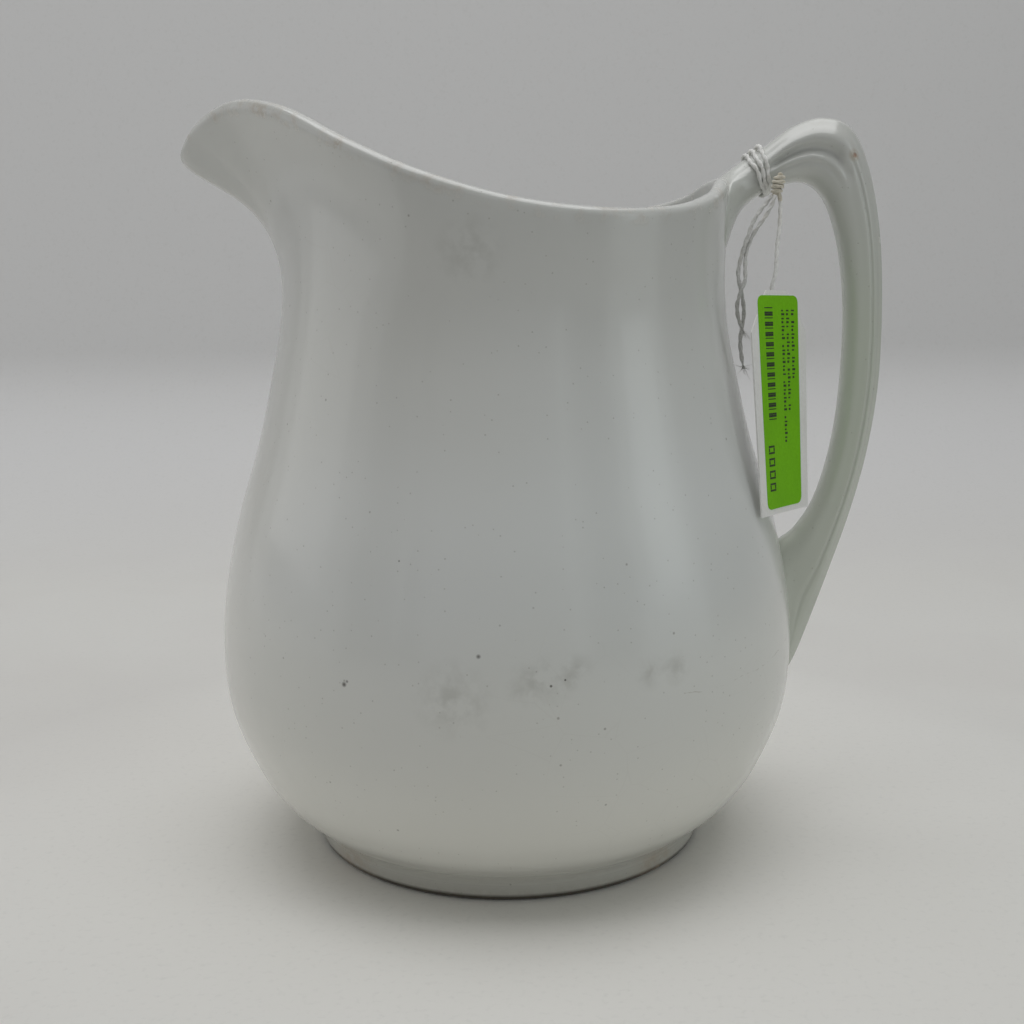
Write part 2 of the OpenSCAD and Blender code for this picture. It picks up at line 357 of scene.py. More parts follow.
def glaze_tones(look, cloud, on_handle):
    """Warm and cool clouds in the glaze. The handle then gets painted shade over all of it and a greener
    tone low down; the body gets painted light on its lower belly and painted shade on its foot and neck.
    """
    drift = look.noise(6, 1, place=look.stretched((1.0, 1.0, 0.45)))
    colour = look.tint(GLAZE, GLAZE_WARM, look.step(cloud, 0.3, 0.8))
    colour = look.tint(colour, GLAZE_COOL, look.part(look.step(drift, 0.35, 0.75), 0.7))
    height = look.height()
    if on_handle:
        # Painted shade: the whole handle is made darker.
        colour = look.tint(colour, HANDLE_PAINTED_SHADE, 0.7)
        return look.tint(colour, GLAZE_GREEN, look.part(look.step(height, 0.225, 0.17), 0.6))
    # Painted light: the lower belly is made paler towards the foot.
    colour = look.tint(colour, LOW_BELLY_PAINTED_LIGHT, look.step(height, 0.10, 0.03))
    # Painted shade: darker on the foot band.
    colour = look.tint(colour, FOOT_PAINTED_SHADE, look.step(height, 0.0115, 0.005))
    # Painted shade: darker up the neck.
    return look.tint(colour, NECK_PAINTED_SHADE, look.step(height, 0.14, 0.205, 0.0, 0.85))


def smudged(look, colour):
    soft_grey = look.step(look.noise(190, 3, 0.6), 0.4, 0.65)
    for centre, radius in SMUDGES:
        patch = look.math("MULTIPLY", look.spot(centre, radius * 0.1, radius), soft_grey)
        colour = look.tint(colour, SMUDGE, look.part(patch, 0.3))
    return colour


def pitted(look, colour, dents):
    """Adds the pits to the colour and to the mask of dents."""
    for centre, radius in PITS:
        pit = look.spot(centre, radius * 0.45, radius)
        colour = look.tint(colour, PIT, look.part(pit, 0.85))
        dents = look.math("MAXIMUM", dents, pit)
    return colour, dents


def cracked_soiled_and_shaded(look, colour, ragged):
    """The body's hairline crack, dirt with painted shade at the bottom of its foot, a painted contact shadow
    as a dark line under the foot, and the foot's stains.
    """
    crack = [(HAIRLINE_R * math.cos(math.radians(a)), HAIRLINE_R * math.sin(math.radians(a)), z)
             for a, z in HAIRLINE]
    colour = look.tint(colour, CRACK, look.part(look.hairline(crack), 0.5))
    height = look.height()
    # Dirt and painted shade: darker in ragged patches over the foot's lowest 5 mm.
    grime_and_shade = look.math("MULTIPLY", look.step(height, 0.005, 0.0006), look.step(ragged, 0.25, 0.6))
    colour = look.tint(colour, GRIME_AND_PAINTED_SHADE, look.part(grime_and_shade, 0.35))
    # Painted contact shadow: a near-black line along the foot's lowest millimetres.
    colour = look.tint(colour, PAINTED_CONTACT_SHADOW, look.step(height, 0.0024, 0.0013))
    blotchy = look.step(look.noise(260, 5, 0.65), 0.35, 0.6)
    for centre in FOOT_STAINS:
        stain = look.math("MULTIPLY", look.spot(centre, 2, 13), blotchy)
        colour = look.tint(colour, FOOT_STAIN, look.part(stain, 0.5))
    return colour


def glaze_look(name, chip=None):
    """Old glaze, with painted light and shade. The handle's has a chip, and the body's has a crack, a soiled
    foot with painted shade, and a painted contact shadow under it.
    """
    look = Look(name, 0.18, Coat_Weight=0.5, Coat_Roughness=0.13, Coat_IOR=1.5)
    cloud = look.noise(11, 1)
    colour = glaze_tones(look, cloud, chip is not None)
    fine = look.specks(520, 0.16, 0.22)
    colour = look.tint(colour, SPECK, look.part(fine, 0.30))
    coarse = look.specks(150, 0.075, 0.2)
    colour = look.tint(colour, SPECK, look.part(coarse, 0.55))
    colour, dents = pitted(look, smudged(look, colour), fine)
    # The lip and the handle's crest are rubbed, and stained brown in places.
    wear = look.step(look.marks(), 0.15, 1.0)
    rubbed = look.math("MULTIPLY", wear, look.step(look.noise(190, 5, 0.65), 0.5, 0.68))
    colour = look.tint(colour, RUBBED, look.part(rubbed, 0.35))
    ragged = look.noise(420, 4, 0.7)
    torn = look.step(ragged, 0.4, 0.55)
    stains = [(centre, radius, 0.5) for centre, radius in RIM_WEAR]
    if chip:
        stains.append((chip, 2.6, 0.75))
    for centre, radius, share in stains:
        stain = look.math("MULTIPLY", look.spot(centre, radius * 0.15, radius), torn)
        colour = look.tint(colour, STAIN, look.part(stain, share))
    if chip:
        core = look.spot(chip, 0.45, 1.1)
        colour = look.tint(colour, BROWN, look.part(core, 0.9))
        dents = look.math("MAXIMUM", dents, core)
    # A net of hair-thin crazing.
    cells = look.put("ShaderNodeTexVoronoi", {"Vector": look.place, "Scale": 62.0},
                     feature="DISTANCE_TO_EDGE")
    net = look.step(cells.outputs["Distance"], 0.012, 0.003)
    crazed = look.math("MULTIPLY", net, look.step(cloud, 0.5, 0.62))
    colour = look.tint(colour, CRAZE, look.part(crazed, 0.07))
    if not chip:
        colour = cracked_soiled_and_shaded(look, colour, ragged)
    ripple = look.bump(look.noise(30, 2, place=look.stretched((1.0, 1.0, 0.4))), 0.22, 0.9)
    peel = look.bump(look.noise(600, 1), 0.03, 0.06, ripple)
    normal = look.bump(look.math("SUBTRACT", 1.0, dents), 0.4, 0.2, peel)
    gloss = look.math("ADD", look.step(look.noise(55, 2), 0.3, 0.8, 0.17, 0.26), look.part(rubbed, 0.25))
    return look.finish(colour, gloss, normal)


YELLOWED = (0.62, 0.58, 0.50)
INK = (0.012, 0.02, 0.008)
INK_WORN = (0.10, 0.20, 0.02)


def string_look(name, colour, shade):
    """Limp cotton, with fibres and some yellowing."""
    look = Look(name, 0.95, Sheen_Weight=0.25, Sheen_Roughness=0.5)
    fibre = look.noise(1500, 4, 0.7)
    mixed = look.tint(colour, shade, look.step(fibre, 0.4, 0.7))
    mixed = look.tint(mixed, YELLOWED, look.part(look.step(look.noise(160, 3), 0.5, 0.8), 0.5))
    return look.finish(mixed, None, look.bump(fibre, 0.7, 0.25))


def paper_look(name, colour, shade, roughness=0.85):
    look = Look(name, roughness, Specular_IOR_Level=0.2)
    fibre = look.noise(1100, 5, 0.7)
    cloud = look.noise(60, 3)
    mixed = look.tint(colour, shade, look.step(fibre, 0.4, 0.75))
    mixed = look.tint(mixed, shade, look.part(look.step(cloud, 0.45, 0.7), 0.5))
    dull = look.step(fibre, 0.3, 0.7, roughness - 0.06, roughness)
    return look.finish(mixed, dull, look.bump(fibre, 0.3, 0.06))


def print_look():
    look = Look("print_ink", 0.7)
    dusty = look.noise(2600, 4, 0.75)
    colour = look.tint(INK, INK_WORN, look.step(dusty, 0.5, 0.72))
    return look.finish(colour, look.step(dusty, 0.3, 0.7, 0.6, 0.8), look.bump(dusty, 0.2, 0.02))


body_material = glaze_look("body_glaze")
handle_material = glaze_look("handle_glaze", CHIP)
string_material = string_look("string", (0.90, 0.90, 0.88), (0.74, 0.74, 0.71))
# Painted shade: the tails are the same cotton as the rest, made greyer because they hang in shadow.
shaded_tail_material = string_look("tail_string_painted_shade", (0.68, 0.68, 0.66), (0.52, 0.52, 0.50))
knot_material = string_look("knot_string", (0.74, 0.70, 0.60), (0.56, 0.52, 0.42))
card_material = paper_look("card", (0.88, 0.88, 0.86), (0.80, 0.80, 0.77))
label_material = paper_look("label", (0.20, 0.57, 0.004), (0.17, 0.49, 0.004), 0.7)
print_material = print_look()


# ---------------------------------------------------------------- string

STRING_R = 0.7
# Routes of the three hanging lengths, in metres.
DROP_ROUTE = [
    (0.0876, -0.0122, 0.2106), (0.0875, -0.0129, 0.208), (0.0873, -0.0138, 0.2046),
    (0.0869, -0.0148, 0.201), (0.0863, -0.0158, 0.1972), (0.086, -0.0167, 0.1934),
    (0.0858, -0.0173, 0.19), (0.0853, -0.0177, 0.187), (0.0845, -0.018, 0.184),
    (0.0841, -0.0182, 0.1812), (0.084, -0.0184, 0.1792)]
LONG_ROUTE = [
    (0.085, -0.0119, 0.2122), (0.083, -0.013, 0.2099), (0.0808, -0.0144, 0.2074),
    (0.0787, -0.0154, 0.2042), (0.0772, -0.0164, 0.2006), (0.0758, -0.017, 0.1968),
    (0.0746, -0.0172, 0.1926), (0.0738, -0.018, 0.1882), (0.0744, -0.0189, 0.1838),
    (0.0754, -0.0186, 0.1796), (0.0759, -0.0176, 0.1752), (0.0753, -0.0173, 0.171),
    (0.0749, -0.0179, 0.1668), (0.0752, -0.0186, 0.1628), (0.0758, -0.019, 0.1592)]
SHORT_ROUTE = [
    (0.0857, -0.0137, 0.2122), (0.0841, -0.0149, 0.2086), (0.082, -0.0156, 0.2052),
    (0.0798, -0.016, 0.2022), (0.0778, -0.016, 0.1986), (0.0764, -0.0164, 0.1946),
    (0.076, -0.0178, 0.1904), (0.0758, -0.0194, 0.1864), (0.0744, -0.0202, 0.1826),
    (0.0734, -0.0196, 0.1786), (0.074, -0.019, 0.1744), (0.0754, -0.0194, 0.1706)]


FIBRE_R = 0.11
FIBRE_ANGLES = np.linspace(0, 2 * math.pi, 5, endpoint=False)


def fray(name, at, direction, count, seed, body):
    """Loose fibres that splay from a cut end, as one piece of thin tapering tubes."""
    rng = np.random.default_rng(seed)
    fibres = []
    for _ in range(count):
        aim = unit(direction + rng.normal(0, 0.32, 3))
        bend = rng.normal(0, 0.5, 3)
        length = rng.uniform(1.5, 3.6)
        ts = np.linspace(0, 1, 7)
        start = at + rng.normal(0, 0.18, 3)
        path = start + np.outer(ts * length, aim) + np.outer(ts**2 * length * 0.5, bend)
        sides, others = carried_frames(path)
        rings = []
        for p, side, other, t in zip(path, sides, others, ts):
            circle = np.outer(np.cos(FIBRE_ANGLES), side) + np.outer(np.sin(FIBRE_ANGLES), other)
            rings.append(p + FIBRE_R * (1 - 0.7 * t) * circle)
        fibres.append(closed_loft(rings))
    # The fibres take the yarn with painted shade.
    return make_piece(name, *merged(fibres), shaded_tail_material, body)


def hanging_string(name, node, route, body, frayed=0):
    """A length of yarn along its route. frayed is the number of loose fibres at its end."""
    path = spline(np.array(route) / MM, 8)
    sides, others = carried_frames(path)
    points, faces = closed_loft(yarn_rings(path, sides, others, STRING_R, 2.5 if frayed else 0))
    # Frayed tails take the yarn with painted shade.
    piece = make_piece(name, points, faces, shaded_tail_material if frayed else string_material, body)
    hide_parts(node)
    if frayed:
        loose = fray(name + "_fray", path[-1], path[-1] - path[-2], frayed, len(route), body)
    return piece


hanging_string("drop_yarn", "string_drop", DROP_ROUTE, "strand")
hanging_string("long_tail_yarn", "string_tail_long", LONG_ROUTE, "jug", 16)
hanging_string("short_tail_yarn", "string_tail_short", SHORT_ROUTE, "jug", 13)


# ---------------------------------------------------------------- jug body

WALL = 5.0
BELLY_R = 94.5
FOOT_R = 65.2
FOOT_H = 7.0
FLOOR_Z = 13.0
SPOUT_REACH = 102.5
# The outside of the belly, from the foot to the neck: radius and height.
LOW_WALL = [(FOOT_R - 0.8, FOOT_H), (72, 12.2), (86.3, 30.2), (93.8, 51.2), (BELLY_R, 78.2), (89, 108.2),
            (80.5, 136.2), (74.4, 162.2)]
# Half of the rim, from the handle round to the spout.
RIM_HALF = [(73, 0, 218.2), (71, 14, 217.2), (65, 32, 212.8), (51, 53, 209.1), (29, 68.5, 208.7),
            (2, 74, 212.1), (-24, 71, 219.5), (-46, 58, 228.3), (-66, 40, 237.8), (-83, 22.5, 240.7),
            (-96, 10, 235.2), (-SPOUT_REACH, 0, 227.4)]
UP_STEPS = 44
EDGE_STEPS = 12


def bezier(b, t):
    t = np.asarray(t)[:, None]
    return (1 - t) ** 3 * b[0] + 3 * (1 - t) ** 2 * t * b[1] + 3 * (1 - t) * t**2 * b[2] + t**3 * b[3]


def bezier_across(b, t):
    """Unit vector out of the wall at each t."""
    t = np.asarray(t)[:, None]
    run = (1 - t) ** 2 * (b[1] - b[0]) + 2 * (1 - t) * t * (b[2] - b[1]) + t**2 * (b[3] - b[2])
    run = unit(run)
    return np.stack([run[:, 1], -run[:, 0]], axis=1)


# The foot's cove is drawn closer than the design's, down to the seam with the foot.
SEAM_Z = 5.0
LOW_COVE = [(FOOT_R, SEAM_Z), (FOOT_R + 0.3, 6.4), (FOOT_R + 2.0, 8.6), (72, 12.2), (79.4, 19.4)]
LOW_OUTER = spline(LOW_COVE + LOW_WALL[2:], 10)
FLOOR_ROUND = [(30, FLOOR_Z), (58, FLOOR_Z + 0.8), (77, 28)]
LOW_INNER = spline(FLOOR_ROUND + [(r - WALL, z) for r, z in LOW_WALL[3:]], 9)
NECK = LOW_OUTER[-1]
NECK_RUN = unit(LOW_OUTER[-1] - LOW_OUTER[-6])


def meridian(edge):
    """The wall's outline in one direction, as (radius, height), and how near each point is to the lip."""
    # share is 1 at the spout, where the lip leans out, and 0 over most of the rim.
    share = ease(0.6, 1, (1 - math.cos(math.atan2(edge[1], edge[0]))) / 2)
    slope = math.radians(88 - 28 * share)
    top = np.array([math.hypot(edge[0], edge[1]), edge[2] - WALL / 2])
    pull = (18 - 5 * share) * np.array([math.cos(slope), math.sin(slope)])
    b = np.array([NECK, NECK + (20 + 35 * share) * NECK_RUN, top - pull, top])
    t = np.linspace(0, 1, UP_STEPS + 1)
    outer = bezier(b, t)
    inner = outer - WALL * bezier_across(b, t)
    out = bezier_across(b, [1.0])[0]
    middle = top - out * WALL / 2
    bow = np.linspace(0, math.pi, EDGE_STEPS + 1)[1:-1]
    up = np.array([-out[1], out[0]])
    lip = middle + WALL / 2 * (np.outer(np.cos(bow), out) + np.outer(np.sin(bow), up))
    outline = np.vstack([LOW_OUTER, outer[1:], lip, inner[:0:-1], LOW_INNER[::-1]])
    low = np.zeros(len(LOW_OUTER))
    rise = ease(0.93, 1.0, t[1:])
    marks = np.r_[low, rise, np.ones(len(lip)), rise[::-1], np.zeros(len(LOW_INNER))]
    return outline, marks


RIM = loop_spline(RIM_HALF + [(x, -y, z) for x, y, z in RIM_HALF[-2:0:-1]], 12)
HEADINGS = np.arctan2(RIM[:, 1], RIM[:, 0])


def turned(outlines):
    """Rings of points from the outline in each heading, each as (radius, height)."""
    radii = outlines[..., 0]
    xs = radii * np.cos(HEADINGS)[:, None]
    ys = radii * np.sin(HEADINGS)[:, None]
    return np.stack([xs, ys, outlines[..., 1]], axis=-1).transpose(1, 0, 2)


def make_body():
    outlines, marks = zip(*(meridian(edge) for edge in RIM))
    rings = turned(np.array(outlines))
    points, faces = closed_loft(rings)
    points[-2] = (0, 0, FOOT_H)
    points[-1] = (0, 0, FLOOR_Z)
    marks = np.r_[np.array(marks).T.ravel(), 0, 0]
    piece = make_piece("body_shell", points, faces, body_material, "jug", marks)
    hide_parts("jug_body")


def make_foot():
    """The turned foot: a rounded bearing edge under an upright band."""
    inset = [(8.6, SEAM_Z + 3), (8.1, 5), (8, 2.2), (7.4, 0.6), (6.4, 0.0), (3.2, 0.0), (1.4, 0.12),
             (0.6, 0.6), (0.25, 1.5), (0.1, 3.0), (0, SEAM_Z - 0.1)]
    outline = spline([(FOOT_R - r, z) for r, z in inset], 6)
    seam = [(FOOT_R, SEAM_Z), (FOOT_R - 2, SEAM_Z + 0.4), (FOOT_R - 5, SEAM_Z + 3)]
    outline = np.vstack([outline, seam])
    outline[:, 1] = np.maximum(outline[:, 1], 0)
    rings = turned(np.tile(outline, (len(HEADINGS), 1, 1)))
    points = rings.reshape(-1, 3)
    faces = ring_faces(len(outline), len(HEADINGS), closed=True)
    piece = make_piece("foot_band", points, faces, body_material, "jug")
    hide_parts("foot_ring")


# ---------------------------------------------------------------- handle

LIMB_W = 7.5
# Sections from the upper root to the lower one: outer x and z, inner x and z, half width.
STATIONS = [(70, 217.5, 70.5, 191.7, 14), (75.5, 221.6, 75.6, 205.2, 10.2), (83, 226.2, 81.5, 211, 8.8),
            (92.5, 233, 89, 214.6, 8.6), (102, 235.8, 96.1, 215.6, 8.8), (111.2, 232.6, 101.5, 212.6, 8.8),
            (117.3, 220.2, 105.6, 205.6, 8.4), (121.3, 201.2, 109.2, 191.8, LIMB_W + 0.4),
            (123, 178.2, 111, 173.2, LIMB_W), (122.8, 152.2, 110.4, 149.2, LIMB_W),
            (119.8, 129.2, 107.9, 129.7, LIMB_W), (114.8, 108.7, 103.2, 113.2, LIMB_W),
            (108, 87.2, 97.2, 103.4, LIMB_W), (102.6, 71.2, 90.4, 96.2, LIMB_W - 0.7),
            (98, 58.7, 91.4, 79.2, LIMB_W - 2), (93.4, 49.7, 91.2, 62.2, LIMB_W - 4.5)]
HANDLE_STEPS = 14
HANDLE_SIDES = 128
BEAD_H = 1.4
# The roots spread along the wall by this much, and within this distance of it.
UPPER_ROOT_SPREAD = 5.0
LOWER_ROOT_SPREAD = 2.0
ROOT_FILLET = 2.4
MID_LIMB = 6
KNUCKLE = 5.25
WALL_LINE = meridian(RIM_HALF[0])[0][: len(LOW_OUTER) + UP_STEPS]


def soft(x, power):
    """A power that keeps the sign, which squares off a round outline."""
    return np.sign(x) * np.abs(x) ** power


def handle_ring(s, angles, grow=0.0):
    """The handle's outline at station s: a crest bead, a hollow under it, a moulding and a flat side."""
    p = np.array(STATIONS, float)
    p = np.vstack([2 * p[0] - p[1], p, 2 * p[-1] - p[-2], 2 * p[-1] - p[-2]])
    i = min(int(s), len(STATIONS) - 2)
    xo, zo, xi, zi, half_w = catmull(*p[i : i + 4], s - i)
    up = unit(np.array([xo - xi, 0, zo - zi]))
    half_h = math.hypot(xo - xi, zo - zi) / 2
    middle = np.array([xo + xi, 0, zo + zi]) / 2
    arch = float(ease(1.9, 2.8, s) * (1 - ease(5.0, 6.0, s)))
    limb = float(ease(5.0, 6.0, s) * (1 - ease(13.0, 14.6, s)))
    q = soft(np.cos(angles), 0.78)
    w = soft(np.sin(angles), 0.78)
    outside = q > 0
    bead = np.where(outside, BEAD_H * np.exp(-((np.sin(angles) / 0.45) ** 4)), 0)
    # Width of the section from its back, q = 1, to its inner face, q = -1.
    wide = 1 - arch * (0.26 * hill(q, 0.12, 0.2) + 0.05 * hill(q, -0.34, 0.1) - 0.03 * hill(q, -0.16, 0.07))
    wide = wide - arch * 0.06 * ease(-0.2, -0.9, q) + arch * 0.05 * hill(q, 0.55, 0.25)
    wide = wide - limb * (0.08 * hill(q, 0.42, 0.08) + 0.04 * hill(q, -0.1, 0.35))
    wide = wide + 0.16 * hill(s, KNUCKLE, 0.22) * hill(q, 0.18, 0.16)
    points = middle + np.outer(q * (half_h + grow - BEAD_H / 2) + bead, up)
    points[:, 1] += w * wide * (half_w + grow)
    # Near the wall the outline turns outwards round the jug's axis, which makes a fillet.
    radius = np.hypot(points[:, 0], points[:, 1])
    away = np.maximum(radius - np.interp(points[:, 2], WALL_LINE[:, 1], WALL_LINE[:, 0]), 0)
    spread = LOWER_ROOT_SPREAD if s > MID_LIMB else UPPER_ROOT_SPREAD
    turn = spread * w * np.exp(-away / ROOT_FILLET) / radius
    x = points[:, 0] * np.cos(turn) - points[:, 1] * np.sin(turn)
    points[:, 1] = points[:, 0] * np.sin(turn) + points[:, 1] * np.cos(turn)
    points[:, 0] = x
    marks = np.where(outside, hill(np.sin(angles), 0, 0.8) * 0.5, 0) * (arch + limb)
    return points, marks


def make_handle():
    angles = -np.linspace(0, 2 * math.pi, HANDLE_SIDES, endpoint=False)
    count = (len(STATIONS) - 1) * HANDLE_STEPS + 1
    rings, marks = zip(*(handle_ring(k / HANDLE_STEPS, angles) for k in range(count)))
    points, faces = closed_loft(rings[::-1])
    marks = np.r_[np.array(marks[::-1]).ravel(), 0, 0]
    piece = make_piece("handle_loop", points, faces, handle_material, "jug", marks)
    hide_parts("handle")


# ---------------------------------------------------------------- hitch and knot

# Where each turn lies along the handle's stations, and how far it slants.
HITCH_TURNS = [(1.36, 0.5), (1.62, 0.41), (1.88, 0.33)]
HITCH_STEPS = 144
KNOT_AT = (86.8, -11.8, 215.6)
KNOT_TURNS = 4.2
KNOT_LEAN = 12


def make_hitch():
    """Three turns of yarn round the handle, slanting back towards the knot."""
    loops = []
    for number, (at, slant) in enumerate(HITCH_TURNS):
        path = []
        for a in np.linspace(0, 2 * math.pi, HITCH_STEPS, endpoint=False):
            lift = 0.35 * (1 + math.cos(a - 0.5)) * (0.4 + 0.4 * number)
            station = at + slant * (1 - math.cos(a))
            ring, _ = handle_ring(station, np.array([a]), STRING_R + 0.15 + lift)
            path.append(ring[0])
        path = np.array(path)
        along = unit(np.roll(path, -1, axis=0) - np.roll(path, 1, axis=0))
        side = unit(np.cross(along, path - path.mean(0)))
        other = np.cross(along, side)
        # A whole number of half twists lets the loop close on itself.
        gone = np.linalg.norm(np.diff(np.vstack([path, path[:1]]), axis=0), axis=1)
        twists = round(gone.sum() / YARN_PITCH)
        phase = np.r_[0, np.cumsum(gone)[:-1]] / gone.sum() * twists * math.pi
        rings = [yarn_ring(p, s, o, turn, STRING_R) for p, s, o, turn in zip(path, side, other, phase)]
        loops.append((np.vstack(rings), ring_faces(HITCH_STEPS, YARN_SIDES, closed=True)))
    points, faces = merged(loops)
    piece = make_piece("hitch_turns", points, faces, string_material, "jug")
    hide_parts("string_hitch")


def make_knot():
    """Yarn wound in close turns round two strands that run through it."""
    t = np.linspace(0, 1, 190)
    a = t * KNOT_TURNS * 2 * math.pi + 0.6
    reach = 1.55 - 0.25 * np.cos(2 * math.pi * t)
    coil = np.stack([reach * np.cos(a) * 0.85, reach * np.sin(a) * 0.85, -2.9 + 5.8 * t], axis=1)
    strands = [spline([(x, y, -3.6), (x * 0.3, -y, -1.2), (-x, y * 0.4, 1.2), (x * 0.5, -y, 3.6)], 14)
               for x, y in ((0.5, 0.35), (-0.5, -0.3))]
    lean = Matrix.Rotation(math.radians(KNOT_LEAN), 3, "Y")
    paths = [np.array([lean @ Vector(p) for p in path]) + KNOT_AT for path in [coil, *strands]]
    # A short strand leads down to the place that the tag hangs from.
    hang = np.array(DROP_ROUTE[0]) / MM
    paths.append(spline([hang + (-0.8, 0.4, 4.0), hang + (-0.4, 0.2, 2.0), hang + (0, 0, -0.3)], 10))
    points, faces = merged(closed_loft(yarn_rings(path, *carried_frames(path), STRING_R)) for path in paths)
    piece = make_piece("knot_yarn", points, faces, knot_material, "jug")
    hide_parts("string_knot")


# ---------------------------------------------------------------- tag

# The hole in the card hangs here. Y in the tag's own directions is up from it.
TAG_HOLE = (85.5, -19.5, 179.4)
TAG_HEADING = 53
TAG_LEAN = 9
TAG_ROLL = -4
CARD_W = 35.0
CARD_H = 70.0
CARD_T = 0.5
CARD_CLIP = 11.0
CARD_SHOULDER = 13.0
LABEL_W = 25.4
LABEL_H = 66.6
LABEL_CORNER = 2.5
LABEL_T = 0.12
PRINT_T = 0.05
HOLE_DROP = 3.6
HOLE_R = 2.0
LABEL_TOP = HOLE_DROP - 1.6
# Turn of the card about its own upright, from its foot to its top, and how far its edges curl.
CARD_TWIST = (2.0, -3.0)
CARD_CURL = 0.5
# Edges that turn by more than this many degrees stay sharp.
CREASE = 40


def hung(points):
    """Points of the flat tag, in its own X, Y and thickness, bent and hung in their place."""
    x, y, t = np.asarray(points, float).T
    t = t + CARD_CURL * (x / (CARD_W / 2)) ** 2
    up = np.clip((y - HOLE_DROP + CARD_H) / CARD_H, 0, 1)
    twist = np.radians(CARD_TWIST[0] + (CARD_TWIST[1] - CARD_TWIST[0]) * up)
    across = x * np.cos(twist) + t * np.sin(twist)
    out = t * np.cos(twist) - x * np.sin(twist)
    bent = np.stack([across, y, out], axis=1)
    place = (
        Matrix.Rotation(math.radians(-TAG_LEAN), 3, "X")
        @ Matrix.Rotation(math.radians(TAG_HEADING), 3, "Z")
        @ Matrix.Rotation(math.radians(TAG_ROLL), 3, "Y")
        @ Matrix.Rotation(math.radians(90), 3, "X")
    )
    return bent @ np.array(place).T + TAG_HOLE


def sheet_slab(half_width, low, high, back, front, columns, rows, hole=None):
    """A thin slab whose half width at each height is a function, as flat points and faces."""
    ys = np.linspace(low, high, rows + 1)
    us = np.linspace(-1, 1, columns + 1)
    flat = np.array([(u * half_width(y), y) for y in ys for u in us])
    cells = [(r * (columns + 1) + c, r * (columns + 1) + c + 1, (r + 1) * (columns + 1) + c + 1,
              (r + 1) * (columns + 1) + c) for r in range(rows) for c in range(columns)]
    if hole:
        cells = [q for q in cells if np.linalg.norm(flat[list(q)].mean(0)) > hole]
    # An edge that only one cell uses is on the outline. The dict keeps them in order.
    used = dict.fromkeys((a, b) for q in cells for a, b in zip(q, q[1:] + q[:1]))
    edges = [(a, b) for a, b in used if (b, a) not in used]
    if hole:
        for a in {i for edge in edges for i in edge}:
            if np.linalg.norm(flat[a]) < hole * 1.5:
                flat[a] = hole * unit(flat[a])
    n = len(flat)
    points = np.vstack([np.c_[flat, np.full(n, back)], np.c_[flat, np.full(n, front)]])
    faces = [tuple(reversed(q)) for q in cells]
    faces += [tuple(i + n for i in q) for q in cells]
    faces += [(a, b, b + n, a + n) for a, b in edges]
    kept = sorted({i for face in faces for i in face})
    number = {old: new for new, old in enumerate(kept)}
    return points[kept], [tuple(number[i] for i in face) for face in faces]


def card_half(y):
    return CARD_W / 2 - max(0.0, y - (HOLE_DROP - CARD_SHOULDER)) * CARD_CLIP / CARD_SHOULDER


def label_half(y):
    gap = min(LABEL_TOP - y, y - LABEL_TOP + LABEL_H)
    inset = LABEL_CORNER - min(gap, LABEL_CORNER)
    return LABEL_W / 2 - LABEL_CORNER + math.sqrt(LABEL_CORNER**2 - inset**2)


def print_blocks():
    """Generic marks only: a column of bars, three columns of short strokes and four hollow blocks."""
    blocks = [(-8.6, LABEL_TOP - 4 - i * 1.05 - 0.25 * (i * 5 % 3), 5.2, 0.3 + 0.22 * (i * 7 % 3))
              for i in range(34)]
    for column in range(3):
        for i in range(34 - 8 * column):
            if (i + 3 * column) % 9 != 8:
                width = 1.1 + 0.35 * ((i * 5 + column) % 3)
                blocks.append((2.2 + 3.1 * column, LABEL_TOP - 5 - i * 1.25, width, 0.5 + 0.2 * (i * 3 % 2)))
    for i in range(4):
        low = LABEL_TOP - 61 + i * 3.9
        blocks += [(-10, low, 4.2, 0.6), (-10, low + 2, 4.2, 0.6)]
        blocks += [(-10, low + 0.7, 0.7, 1.2), (-6.5, low + 0.7, 0.7, 1.2)]
    return blocks


def tag_piece(name, points, faces, material):
    piece = make_piece(name, hung(points), faces, material, "tag")
    piece.data.set_sharp_from_angle(angle=math.radians(CREASE))
    return piece


def make_tag():
    """The card, the label on it and the print on the label, each a thin slab on the one below."""
    label_back = CARD_T
    label_front = label_back + LABEL_T
    points, faces = sheet_slab(card_half, HOLE_DROP - CARD_H, HOLE_DROP, 0, label_back, 58, 140, HOLE_R)
    card = tag_piece("card_sheet", points, faces, card_material)
    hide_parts("tag_card")
    points, faces = sheet_slab(label_half, LABEL_TOP - LABEL_H, LABEL_TOP, label_back, label_front, 30, 160)
    label = tag_piece("label_sheet", points, faces, label_material)
    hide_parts("price_label")
    slabs = []
    for x, y, w, h in print_blocks():
        points, faces = sheet_slab(lambda _, w=w: w / 2, y, y + h, label_front, label_front + PRINT_T, 6, 3)
        points[:, 0] += x + w / 2
        slabs.append((points, faces))
    marks = tag_piece("print_marks", *merged(slabs), print_material)
    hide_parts("label_print")


make_body()
make_foot()
make_handle()
make_hitch()
make_knot()
make_tag()


# ---------------------------------------------------------------- floor, backdrop and light

# The paper, in metres: its front edge, where it starts to rise, and the rise's depth and height.
FLOOR_FRONT = -1.4
FLOOR_BACK = 0.34
SWEEP_DEEP = 0.24
SWEEP_HIGH = 0.115
STAGE_TOP = 1.9
STAGE_HALF = 1.6
PAPER = (0.70, 0.695, 0.67)
PAPER_SHADE = (0.67, 0.66, 0.635)
PAPER_FLECK = (0.52, 0.52, 0.50)
# Painted light: a paler pool of paper round the jug.
PAPER_PAINTED_LIGHT = (0.88, 0.87, 0.83)
BACKDROP = (0.69, 0.69, 0.69)
ROOM_LIGHT = 0.13
COOL_WHITE = (0.93, 1.0, 1.0)


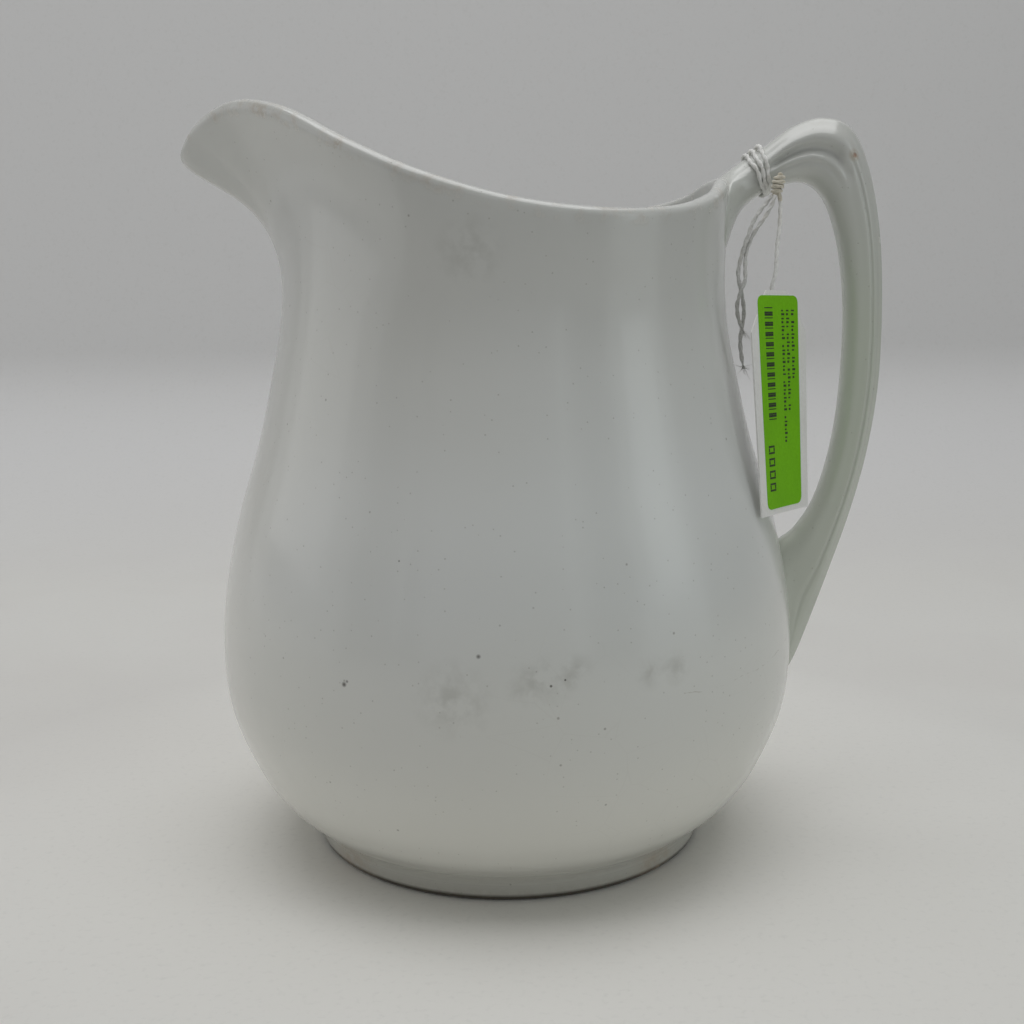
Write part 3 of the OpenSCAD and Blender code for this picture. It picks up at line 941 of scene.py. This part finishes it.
def stage_look():
    """Matt paper, with a painted pool of light round the jug, and plain grey where it rises."""
    look = Look("stage_paper", 0.9)
    soft_cloud = look.noise(5, 3)
    grain = look.noise(420, 4)
    colour = look.tint(PAPER, PAPER_SHADE, look.step(soft_cloud, 0.4, 0.65))
    far = look.put("ShaderNodeSeparateXYZ", {0: look.place}).outputs["Y"]
    colour = look.tint(colour, BACKDROP, look.step(far, FLOOR_BACK, FLOOR_BACK + 0.2))
    # Painted light: the paper is paler round the jug.
    colour = look.tint(colour, PAPER_PAINTED_LIGHT, look.spot((0, -20, 0), 70, 230))
    colour = look.tint(colour, PAPER_FLECK, look.part(look.step(grain, 0.55, 0.8), 0.2))
    return look.finish(colour, None, look.bump(grain, 0.08, 0.2))


def make_stage():
    """A sheet that lies under the jug and sweeps up behind it."""
    outline = [(FLOOR_FRONT, 0), (FLOOR_BACK, 0)]
    outline += [(FLOOR_BACK + SWEEP_DEEP * math.sin(a), SWEEP_HIGH * (1 - math.cos(a)))
                for a in np.linspace(0, math.pi / 2, 14)[1:]]
    outline += [(FLOOR_BACK + SWEEP_DEEP, STAGE_TOP)]
    points = [(x, y, z) for y, z in outline for x in (-STAGE_HALF, STAGE_HALF)]
    faces = [(2 * i, 2 * i + 1, 2 * i + 3, 2 * i + 2) for i in range(len(outline) - 1)]
    mesh = bpy.data.meshes.new("stage")
    mesh.from_pydata(points, [], faces)
    mesh.polygons.foreach_set("use_smooth", [True] * len(faces))
    mesh.materials.append(stage_look())
    stage = bpy.data.objects.new("stage", mesh)
    scene.collection.objects.link(stage)


def softbox(name, at, aim, size, power, colour=(1, 1, 1)):
    """A rectangular light at a place, turned to an aim."""
    data = bpy.data.lights.new(name, "AREA")
    data.shape = "RECTANGLE"
    data.size = size[0]
    data.size_y = size[1]
    data.energy = power
    data.color = colour
    light = bpy.data.objects.new(name, data)
    scene.collection.objects.link(light)
    light.location = at
    light.rotation_euler = (Vector(aim) - Vector(at)).to_track_quat("-Z", "Y").to_euler()


def make_light():
    world = bpy.data.worlds.new("studio")
    world.use_nodes = True
    world.node_tree.nodes["Background"].inputs["Color"].default_value = (1.0, 1.0, 1.0, 1)
    world.node_tree.nodes["Background"].inputs["Strength"].default_value = ROOM_LIGHT
    scene.world = world
    softbox("top_box", (0, 0.0, 1.45), (0, 0.0, 0), (1.5, 1.2), 12.2)
    softbox("front_fill", (0, -1.5, 0.5), (0, 0, 0.1), (2.0, 1.0), 1.2)
    # Each wall is a wide dim sheet with a smaller one in front, so that its reflection fades at the edges.
    softbox("left_wall", (-0.78, 0.05, 0.33), (0, 0.02, 0.14), (0.95, 0.74), 0.62)
    softbox("left_wall_middle", (-0.76, 0.05, 0.32), (0, 0.02, 0.14), (0.52, 0.34), 0.22)
    softbox("right_wall", (0.68, -0.31, 0.34), (0, 0, 0.13), (0.44, 0.66), 0.36, COOL_WHITE)
    softbox("right_wall_middle", (0.66, -0.30, 0.33), (0, 0, 0.13), (0.22, 0.34), 0.15, COOL_WHITE)
    softbox("left_gap", (-0.51, -0.60, 0.30), (0, 0, 0.13), (0.012, 0.4), 0.014)
    softbox("right_gap", (0.34, -0.71, 0.30), (0, 0, 0.13), (0.012, 0.4), 0.018, (0.9, 1.0, 1.0))
    scene.view_settings.view_transform = "Standard"


make_stage()
make_light()
